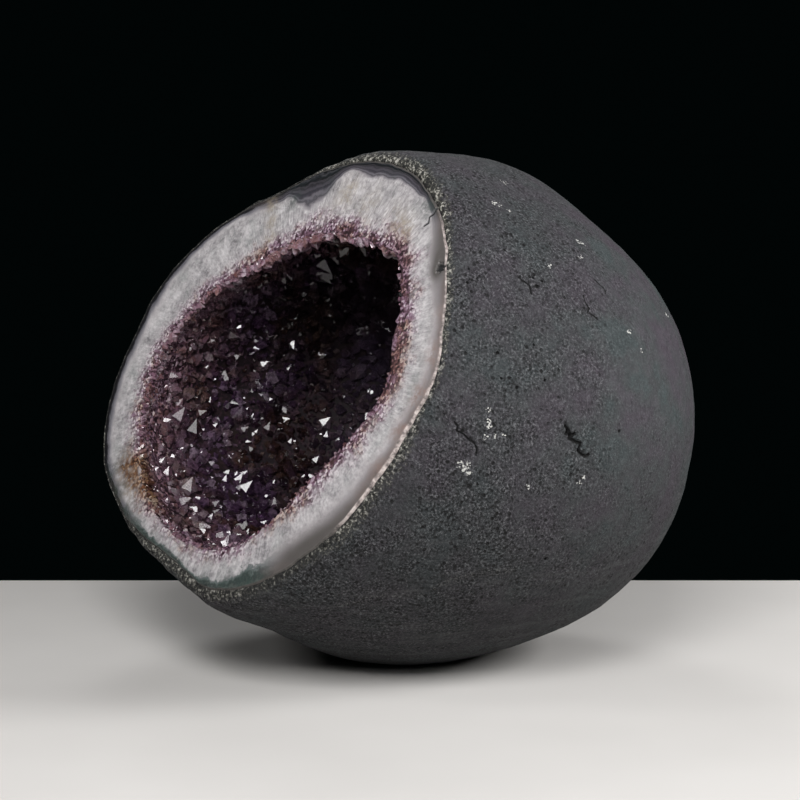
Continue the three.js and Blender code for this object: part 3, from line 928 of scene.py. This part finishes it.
def crystal_template(sides, shoulder, heights):
    """One quartz point, modelled once: a prism cut by sloping faces, whose heights above its
    shoulder differ a little, so that they meet in an uneven tip."""
    deselect_all()
    bpy.ops.mesh.primitive_cylinder_add(vertices=sides, radius=1, depth=6, location=(0, 0, 1.5))
    obj = bpy.context.object
    bpy.ops.object.transform_apply(location=True)
    bpy.ops.object.mode_set(mode="EDIT")
    lean = math.radians(POINT_LEAN)
    for step, height in enumerate(heights):
        turn = 2 * math.pi * step / len(heights)
        bpy.ops.mesh.select_all(action="SELECT")
        bpy.ops.mesh.bisect(plane_co=(0, 0, shoulder + height), use_fill=True, clear_outer=True,
                            plane_no=(math.cos(turn) * math.sin(lean), math.sin(turn) * math.sin(lean),
                                      math.cos(lean)))
    bpy.ops.object.mode_set(mode="OBJECT")
    points = np.array([v.co for v in obj.data.vertices])
    faces = [list(p.vertices) for p in obj.data.polygons]
    bpy.data.objects.remove(obj)
    return points, faces


def spiral_directions(count, seed):
    """Directions spread evenly over a ball, each moved a little at random."""
    chance = np.random.default_rng(seed)
    index = np.arange(count) + 0.5
    height = 1 - 2 * index / count
    turn = index * math.pi * (1 + 5 ** 0.5)
    level = np.sqrt(1 - height ** 2)
    direction = np.stack([np.cos(turn) * level, np.sin(turn) * level, height], 1)
    direction += chance.normal(0, 1.8 / math.sqrt(count), direction.shape)
    return unit(direction)


def grow_crystals(name, templates, crystals):
    """Copies the templates to their places and joins the copies in one mesh."""
    axes = unit(crystals["axes"])
    u = unit(crystals["facing"] - (crystals["facing"] * axes).sum(1)[:, None] * axes)
    v = np.cross(axes, u)
    sizes, tall, flat = crystals["sizes"], crystals["tall"], crystals["flat"]
    verts, faces, tones, depths, start = [], [], [], [], 0
    for i, place in enumerate(crystals["places"]):
        points, polygons = templates[crystals["kinds"][i]]
        at = (points[:, :1] * u[i] + points[:, 1:2] * v[i] * flat[i] + points[:, 2:] * axes[i] * tall[i])
        at = place + at * sizes[i]
        front = (at @ FACE_NORMAL).max() - (FACE_DISTANCE - BEHIND_CUT)
        if front > 0:
            at = at - FACE_NORMAL * front
        verts.append(at)
        faces.extend([[start + p for p in polygon] for polygon in polygons])
        tones.extend([crystals["tones"][i]] * len(points))
        depths.extend([crystals["behind"][i]] * len(points))
        start += len(points)
    mesh = bpy.data.meshes.new(name)
    mesh.from_pydata(((np.concatenate(verts) + BODY_CENTRE) * MM).tolist(), [], faces)
    obj = bpy.data.objects.new(name, mesh)
    bpy.context.scene.collection.objects.link(obj)
    store(obj, "tone", tones)
    points, depths = read_points(obj), np.array(depths)
    right, up = points @ FACE_RIGHT, points @ FACE_UP
    # The depth that sets the crystals' colour, moved round the rim by druse_shift, which partly paints
    # light and shade.
    store(obj, "behind", depths + druse_shift(turn_of(points)) * (1 - ramp(depths, 20, 60)))
    store(obj, "iron", spots_at(right, up, FACE_SPOTS["iron"]) * (1 - ramp(depths, 6, 24)))
    return obj


def lining_material():
    """The base of the crystals: quartz that turns from white and lilac at the rim to a dark
    purple-brown inside, with rusty dots of iron."""
    material, tree, place = new_material("amethyst_base_crystalline")
    comb = add_node(tree, "Attribute", output="Vector", attribute_name="comb")
    behind, = stored(tree, "behind")
    outward = add_node(tree, "Math", {0: behind, 1: -1.0}, operation="MULTIPLY")
    colour = druse_over(tree, "#a39ea0", outward, place, comb)
    relief = add_node(tree, "Bump", {
        "Strength": 0.7, "Distance": 0.0008, "Height": grain_shades(tree, place, 3.3333)})
    surface = add_node(tree, "BsdfPrincipled", {
        "Base Color": colour, "Roughness": 0.65, "Specular IOR Level": 0.25, "Normal": relief})
    add_node(tree, "OutputMaterial", {"Surface": surface})
    return material


def crystal_material(name, clearness, absorbed, density):
    """Amethyst with natural crystal faces: bright facets and a violet or smoky body, see-through and
    slightly cloudy, milky lilac at the rim and deeper where the light's way through it is longer."""
    material, tree, place = new_material(name)
    tone, behind, iron = stored(tree, "tone", "behind", "iron")

    wander = patches(tree, place, 22.222, 5.0, 0.7, 0.3, 0.7, -20.0, 20.0)
    inside = add_node(tree, "Math", {0: behind, 1: wander}, operation="ADD")
    inside = add_node(tree, "MapRange", {"Value": inside, "From Min": 18.0, "From Max": 70.0})
    patch = patches(tree, place, 10.526, 5.0, 0.75, 0.36, 0.64)
    mixed = add_node(tree, "Mix", {"Factor": 0.62, "A": tone, "B": patch}, data_type="FLOAT")
    milky = add_node(tree, "ValToRGB", {"Fac": mixed}, stops=[
        (0.05, "#5b3f4c"), (0.25, "#977286"), (0.45, "#a27f8c"), (0.60, "#b598a8"), (0.80, "#cbb6c2"),
        (1.00, "#ebe0e6")])
    ruddy = patches(tree, place, 19.231, 5.0, 0.7, 0.48, 0.58, end=0.6)
    milky = add_node(tree, "Mix", {"Factor": ruddy, "A": milky, "B": "#8f6355"})
    violet = add_node(tree, "ValToRGB", {"Fac": tone}, stops=[
        (0.0, "#2f2130"), (0.3, "#5f4364"), (0.6, "#7c5f80"), (0.85, "#9f83a0"), (1.0, "#c3abc2")])
    smoky = add_node(tree, "ValToRGB", {"Fac": tone}, stops=[
        (0.0, "#281a16"), (0.3, "#4d342c"), (0.6, "#64473d"), (0.85, "#84665a"), (1.0, "#a68f86")])
    hue = patches(tree, place, 41.667, 4.0, 0.6, 0.42, 0.56)
    body = add_node(tree, "Mix", {"Factor": hue, "A": violet, "B": smoky})
    body = add_node(tree, "Mix", {"Factor": inside, "A": milky, "B": body})
    rust = add_node(tree, "ValToRGB", {"Fac": tone}, stops=[
        (0.0, "#2b1a14"), (0.4, "#634233"), (0.7, "#876850"), (1.0, "#c4af9c")])
    body = add_node(tree, "Mix", {"Factor": iron, "A": body, "B": rust})

    # Dark and pale veils inside the crystals; then painted shade, darker 60 to 110 mm behind the rim,
    # and painted light, paler 130 to 190 mm behind it on the hollow's far wall.
    veil = patches(tree, place, 2.7778, 4.0, 0.7, 0.46, 0.62, end=0.75)
    strong = add_node(tree, "MapRange", {"Value": inside, "To Min": 0.45, "To Max": 1.0})
    veil = add_node(tree, "Math", {0: veil, 1: strong}, operation="MULTIPLY")
    body = add_node(tree, "Mix", {"Factor": veil, "A": body, "B": "#1c1115"})
    pale = patches(tree, place, 1.9231, 3.0, 0.75, 0.56, 0.68, end=0.6)
    body = add_node(tree, "Mix", {"Factor": pale, "A": body, "B": "#97798c"})
    body = paint_over(tree, body, "#131018", behind, 60.0, 110.0, 0.5)
    body = paint_over(tree, body, "#8f7f9b", behind, 130.0, 190.0, 0.4)

    dull = patches(tree, place, 1.4286, 2.0, 0.5, 0.52, 0.75, 0.02, 0.14)
    surface = add_node(tree, "BsdfPrincipled", {
        "Base Color": body, "Roughness": dull, "IOR": 1.544, "Transmission Weight": clearness})
    depth = add_node(tree, "VolumeAbsorption", {"Color": absorbed, "Density": density})
    add_node(tree, "OutputMaterial", {"Surface": surface, "Volume": depth})
    return material


def crystals_between(behind_mm, spacing, sizes, seat, lean, aimed, seed):
    """Places, axes and sizes for the crystals between two distances behind the rim, with how deep
    in mm they sit in the lining. A share of them is aimed: one of their faces sends a soft box's
    light to the camera, as a glint."""
    chance = np.random.default_rng(seed)
    count = int(4 * math.pi * CRUST_RADIUS ** 2 / (PACKING * spacing ** 2))
    direction = spiral_directions(count, seed)
    behind = np.radians(CRUST_INSIDE.behind(direction)) * CRUST_INSIDE.radius(direction)
    low, high = behind_mm
    edge = chance.uniform(-4, 4, count)
    direction = direction[(behind + edge > low) & (behind + edge < high)]
    radius = CRUST_INSIDE.radius(direction)
    count = len(direction)
    roof = 1 + 0.6 * arc_share(turn_of(direction), 45, 150, 15)
    crystals = {
        "places": direction * (radius + seat)[:, None],
        "behind": np.radians(CRUST_INSIDE.behind(direction)) * radius,
        "axes": unit(-direction + chance.normal(0, math.sin(math.radians(lean)), direction.shape)),
        "facing": chance.normal(0, 1, direction.shape),
        "sizes": (chance.uniform(0, 1, count) ** 1.8 * (sizes[1] - sizes[0]) + sizes[0]) * roof,
        "tall": chance.uniform(0.85, 1.25, count),
        "flat": chance.uniform(0.75, 1.15, count),
        "kinds": chance.integers(0, 4, count),
        "tones": chance.uniform(0, 1, count),
    }
    lean = math.radians(POINT_LEAN)
    places = crystals["places"]
    lights = np.array([light_place(name) for name in GLINT_LIGHTS])
    box = lights[chance.choice(len(lights), count, p=list(GLINT_LIGHTS.values()))]
    halfway = unit(unit(camera_place() - places) + unit(box - places))
    halfway = unit(halfway + chance.normal(0, math.sin(math.radians(3)), halfway.shape))
    inward = unit(-direction)
    tip = unit(inward + np.array([0, 0, 0.8]) + chance.normal(0, 0.4, direction.shape))
    across = unit(tip - (tip * halfway).sum(1)[:, None] * halfway)
    turned = halfway * math.cos(lean) + across * math.sin(lean)
    natural = (turned * inward).sum(1) > math.cos(math.radians(MOST_LEAN))
    azimuth = math.radians(CAMERA_AZIMUTH)
    camera_right = np.array([math.cos(azimuth), math.sin(azimuth), 0])
    sideways = (places @ camera_right - GLINTS_MIDDLE[0]) / GLINTS_SIZE[0]
    upward = (places[:, 2] - GLINTS_MIDDLE[1]) / GLINTS_SIZE[1]
    gathered = 0.12 + np.exp(-sideways ** 2 - upward ** 2)
    chosen = natural & (chance.uniform(0, 1, count) < aimed * gathered)
    crystals["axes"][chosen] = turned[chosen]
    crystals["facing"][chosen] = halfway[chosen]
    crystals["tall"][chosen] = crystals["flat"][chosen] = 1
    crystals["kinds"][chosen] %= 2
    crystals["sizes"][chosen] *= chance.uniform(0.9, 1.6, chosen.sum())
    return crystals


def make_druse(settings):
    lining = body_of_rows("druse_lining", lining_rows(*LINING_GRID))
    points = read_points(lining)
    distance = np.linalg.norm(points, axis=1)
    turn = turn_of(points)
    behind = np.abs(np.radians(CRUST_OUTSIDE.behind(unit(points))) * distance)
    # Painted light: the lining reads paler at the top and the left, where the hollow's wall is lit more.
    pale = 1 - 0.35 * arc_share(turn, 64, 110) - 0.55 * arc_share(turn, 110, 225)
    store(lining, "behind", behind * pale - druse_edge(turn) * (1 - ramp(behind, 0, 20)))
    iron = spots_at(points @ FACE_RIGHT, points @ FACE_UP, FACE_SPOTS["iron"])
    store(lining, "iron", iron * (1 - ramp(behind, 6, 24)))
    inward = STONE_OUTSIDE.rho(turn) - CAVITY.rho(turn) + behind
    store(lining, "comb", comb_vectors(turn, inward))
    finish_piece(lining, "amethyst_crust", lining_material())

    # Points: regular, slim, three-sided at the tip, and blunt.
    points = [
        crystal_template(6, 0.2, (1.2, 1.22, 1.25, 1.28, 1.24, 1.2)),
        crystal_template(6, 0.2, (1.24, 1.2, 1.3, 1.4, 1.22, 1.26)),
        crystal_template(6, 0.2, (1.1, 1.5, 1.12, 1.55, 1.08, 1.5)),
        crystal_template(6, 0.1, (0.95, 1.2, 1.05, 1.4, 0.9, 1.3)),
    ]
    # Grains: sharp, skewed, square and blunt.
    grains = [
        crystal_template(3, 0.2, (1.2, 1.25, 1.3)),
        crystal_template(3, 0.1, (1.0, 1.3, 1.5)),
        crystal_template(4, 0.1, (1.1, 1.3, 1.2, 1.4)),
        crystal_template(4, 0.0, (0.9, 1.2, 1.0, 1.5)),
    ]
    sugar = crystal_material("sugary_amethyst_druse", 0.38, (0.6, 0.4, 0.58, 1), 60.0)
    clear = crystal_material("amethyst_crystal", 0.68, (*settings.violet, 1), settings.violet_depth)
    # Each zone: its name and shapes, where it starts and ends in mm behind the rim, the crystals'
    # spacing, least and greatest size and seat in mm, how many degrees they lean, the share that is
    # aimed, the seed of its random draws and its material.
    zones = [
        ("rim_druse", grains, (0, 30), 1.75, (0.5, 1.6), 1.1, 34, 0.03, 11, sugar),
        ("rim_points", points, (3, 44), 4.1, (1.2, 2.9), 1.4, 28, 0.09, 12, sugar),
        ("deep_points", points, (30, 900), 6.4, (2.1, 5.4), 0.5, 30, 0.24, 13, clear),
        ("deep_fillers", grains, (26, 900), 4.4, (1.3, 3.4), 0.5, 40, 0.05, 14, clear),
    ]
    for name, shapes, behind, spacing, sizes, seat, lean, aimed, seed, material in zones:
        crystals = crystals_between(behind, spacing, sizes, seat, lean, aimed, seed)
        crust = grow_crystals(name, shapes, crystals)
        finish_piece(crust, "amethyst_crust", material)


# The stage: floor, lights and camera.

CAMERA_AZIMUTH, CAMERA_ELEVATION = 49, 8
CAMERA_LENS = 100
CAMERA_DISTANCE = 1.488
CAMERA_AIM = Vector((-0.0024, -0.0147, 0.1712))
FLOOR_BACK, FLOOR_FRONT, FLOOR_HALF_WIDTH = 0.213, 3.0, 2.5

# Each soft box: azimuth and elevation seen from the stone, distance, width and height in metres.
SOFT_BOXES = {
    "front_soft_box": (41, 37, 1.4, 0.62, 0.62),
    "right_soft_box": (126, 24, 1.3, 0.36, 0.50),
    "left_soft_box": (-26, 30, 1.4, 0.24, 0.24),
    "rear_soft_box": (238, 38, 1.4, 0.40, 0.40),
    "low_soft_box": (62, 24, 1.4, 0.50, 0.40),
}


def toward(azimuth, elevation):
    """The direction from the object to a place round it; azimuth 0 is in front, at -Y."""
    a, e = math.radians(azimuth), math.radians(elevation)
    return Vector((math.sin(a) * math.cos(e), -math.cos(a) * math.cos(e), math.sin(e)))


def from_body(place):
    return np.array(place) / MM - BODY_CENTRE


def light_place(name):
    azimuth, elevation, distance = SOFT_BOXES[name][:3]
    return from_body(CAMERA_AIM + toward(azimuth, elevation) * distance)


def camera_place():
    return from_body(CAMERA_AIM + toward(CAMERA_AZIMUTH, CAMERA_ELEVATION) * CAMERA_DISTANCE)


def add_light(name, radiance):
    """A soft box that faces the stone; its power follows from its size and radiance."""
    azimuth, elevation, distance, width, height = SOFT_BOXES[name]
    light = bpy.data.lights.new(name, "AREA")
    light.shape, light.size, light.size_y = "RECTANGLE", width, height
    light.energy = radiance * math.pi * width * height
    obj = bpy.data.objects.new(name, light)
    away = toward(azimuth, elevation)
    obj.location = CAMERA_AIM + away * distance
    obj.rotation_mode = "QUATERNION"
    obj.rotation_quaternion = away.to_track_quat("Z", "Y")
    bpy.context.scene.collection.objects.link(obj)


def floor_material():
    """A painted board, matt, a little uneven in its white."""
    material, tree, place = new_material("table_board_painted_matt")
    colour = mottled(tree, place, 250, 3.0, 0.5, [(0.3, "#c9c6c3"), (0.7, "#d2cfcc")])
    surface = add_node(tree, "BsdfPrincipled", {"Base Color": colour, "Roughness": 0.7})
    add_node(tree, "OutputMaterial", {"Surface": surface})
    return material


def make_stage(settings):
    scene = bpy.context.scene
    deselect_all()
    bpy.ops.mesh.primitive_plane_add(size=1, location=(0, 0, 0))
    floor = bpy.context.object
    floor.name = "floor"
    ahead = toward(CAMERA_AZIMUTH, 0)
    side = Vector((-ahead.y, ahead.x, 0))
    middle = Vector((CAMERA_AIM.x, CAMERA_AIM.y, 0))
    corners = [(-FLOOR_HALF_WIDTH, -FLOOR_BACK), (FLOOR_HALF_WIDTH, -FLOOR_BACK),
               (-FLOOR_HALF_WIDTH, FLOOR_FRONT), (FLOOR_HALF_WIDTH, FLOOR_FRONT)]
    for vertex, (across, along) in zip(floor.data.vertices, corners):
        vertex.co = middle + side * across + ahead * along
    floor.data.materials.append(floor_material())

    for name in SOFT_BOXES:
        add_light(name, getattr(settings, name))
    world = bpy.data.worlds.new("dim_studio")
    world.use_nodes = True
    world.node_tree.nodes["Background"].inputs["Color"].default_value = (*settings.room[:], 1)
    scene.world = world
    scene.view_settings.view_transform = "Standard"

    camera = bpy.data.cameras.new("camera")
    camera.lens = CAMERA_LENS
    camera.sensor_width = 36
    obj = bpy.data.objects.new("camera", camera)
    back = toward(CAMERA_AZIMUTH, CAMERA_ELEVATION)
    obj.location = CAMERA_AIM + back * CAMERA_DISTANCE
    obj.rotation_mode = "QUATERNION"
    obj.rotation_quaternion = (-back).to_track_quat("-Z", "Y")
    scene.collection.objects.link(obj)
    scene.camera = obj


class GeodeCoatSettings(bpy.types.PropertyGroup):
    """Sizes of the mortar coat."""
    shoulder: FloatProperty(name="Shoulder", description="How wide the rounded edge at the cut is",
                            default=0.004, min=0.001, max=0.006, unit="LENGTH")
    wave_height: FloatProperty(name="Trowel waves", description="Height of the broad waves in the skin",
                               default=0.0014, min=0, max=0.003, unit="LENGTH")
    lump_height: FloatProperty(name="Trowel drags", description="Height of the small lumps in the skin",
                               default=0.0008, min=0, max=0.002, unit="LENGTH")
    tint: FloatVectorProperty(name="Mortar tint", description="Colours the mortar", size=3,
                              subtype="COLOR", default=(1, 1, 1), min=0, max=1)


class GeodeWallSettings(bpy.types.PropertyGroup):
    """Looks of the agate and quartz wall."""
    milkiness: FloatProperty(name="Milkiness", description="How far light spreads inside the quartz",
                             default=0.001, min=0, max=0.02, unit="LENGTH")
    tint: FloatVectorProperty(name="Stone tint", description="Colours the agate and quartz", size=3,
                              subtype="COLOR", default=(1, 1, 1), min=0, max=1)


class GeodeDruseSettings(bpy.types.PropertyGroup):
    """Looks of the crystals."""
    violet_depth: FloatProperty(name="Violet depth", description="How fast the violet deepens, per metre",
                                default=120, min=0, max=1000)
    violet: FloatVectorProperty(name="Violet", description="Colour of light that crossed a crystal", size=3,
                                subtype="COLOR", default=(0.5, 0.33, 0.48), min=0, max=1)


class GeodeStageSettings(bpy.types.PropertyGroup):
    """The studio light, as the radiance of each soft box."""
    front_soft_box: FloatProperty(name="Front", description="Soft box above and in front",
                                  default=14.7, min=0)
    right_soft_box: FloatProperty(name="Right", description="Soft box at the right",
                                  default=23.5, min=0)
    left_soft_box: FloatProperty(name="Left", description="Soft box at the left",
                                 default=12.8, min=0)
    rear_soft_box: FloatProperty(name="Rear", description="Soft box behind", default=8, min=0)
    low_soft_box: FloatProperty(name="Low", description="Dim soft box by the camera",
                                default=5, min=0)
    room: FloatVectorProperty(name="Room", description="Faint light of the dark room", size=3,
                              subtype="COLOR", default=(0.0006, 0.0014, 0.0014), min=0, max=1)


class GEODE_OT_coat(bpy.types.Operator):
    """Make the mortar coat"""
    bl_idname = "geode.coat"
    bl_label = "Mortar coat"

    def execute(self, context):
        make_coat(context.scene.geode_coat)
        return {"FINISHED"}


class GEODE_OT_wall(bpy.types.Operator):
    """Make the agate and quartz wall"""
    bl_idname = "geode.wall"
    bl_label = "Agate and quartz wall"

    def execute(self, context):
        make_wall(context.scene.geode_wall)
        return {"FINISHED"}


class GEODE_OT_druse(bpy.types.Operator):
    """Make the crystal lining and its points"""
    bl_idname = "geode.druse"
    bl_label = "Amethyst crystals"

    def execute(self, context):
        make_druse(context.scene.geode_druse)
        return {"FINISHED"}


class GEODE_OT_stage(bpy.types.Operator):
    """Make the floor, the lights and the camera"""
    bl_idname = "geode.stage"
    bl_label = "Stage"

    def execute(self, context):
        make_stage(context.scene.geode_stage)
        return {"FINISHED"}


OPERATORS = [GEODE_OT_coat, GEODE_OT_wall, GEODE_OT_druse, GEODE_OT_stage]


class VIEW3D_PT_geode(bpy.types.Panel):
    """Lists the steps in the order they are made"""
    bl_label = "Amethyst geode half"
    bl_space_type = "VIEW_3D"
    bl_region_type = "UI"
    bl_category = "Geode"

    def draw(self, context):
        for operator in OPERATORS:
            self.layout.operator(operator.bl_idname)


SETTINGS = {
    "geode_coat": GeodeCoatSettings,
    "geode_wall": GeodeWallSettings,
    "geode_druse": GeodeDruseSettings,
    "geode_stage": GeodeStageSettings,
}
CLASSES = [*SETTINGS.values(), *OPERATORS, VIEW3D_PT_geode]


def register():
    for each in CLASSES:
        bpy.utils.register_class(each)
    for name, group in SETTINGS.items():
        setattr(bpy.types.Scene, name, PointerProperty(type=group))


def unregister():
    for name in SETTINGS:
        delattr(bpy.types.Scene, name)
    for each in reversed(CLASSES):
        bpy.utils.unregister_class(each)


def main():
    register()
    bpy.ops.geode.stage()
    bpy.ops.geode.coat()
    bpy.ops.geode.wall()
    bpy.ops.geode.druse()


if __name__ == "__main__":
    main()
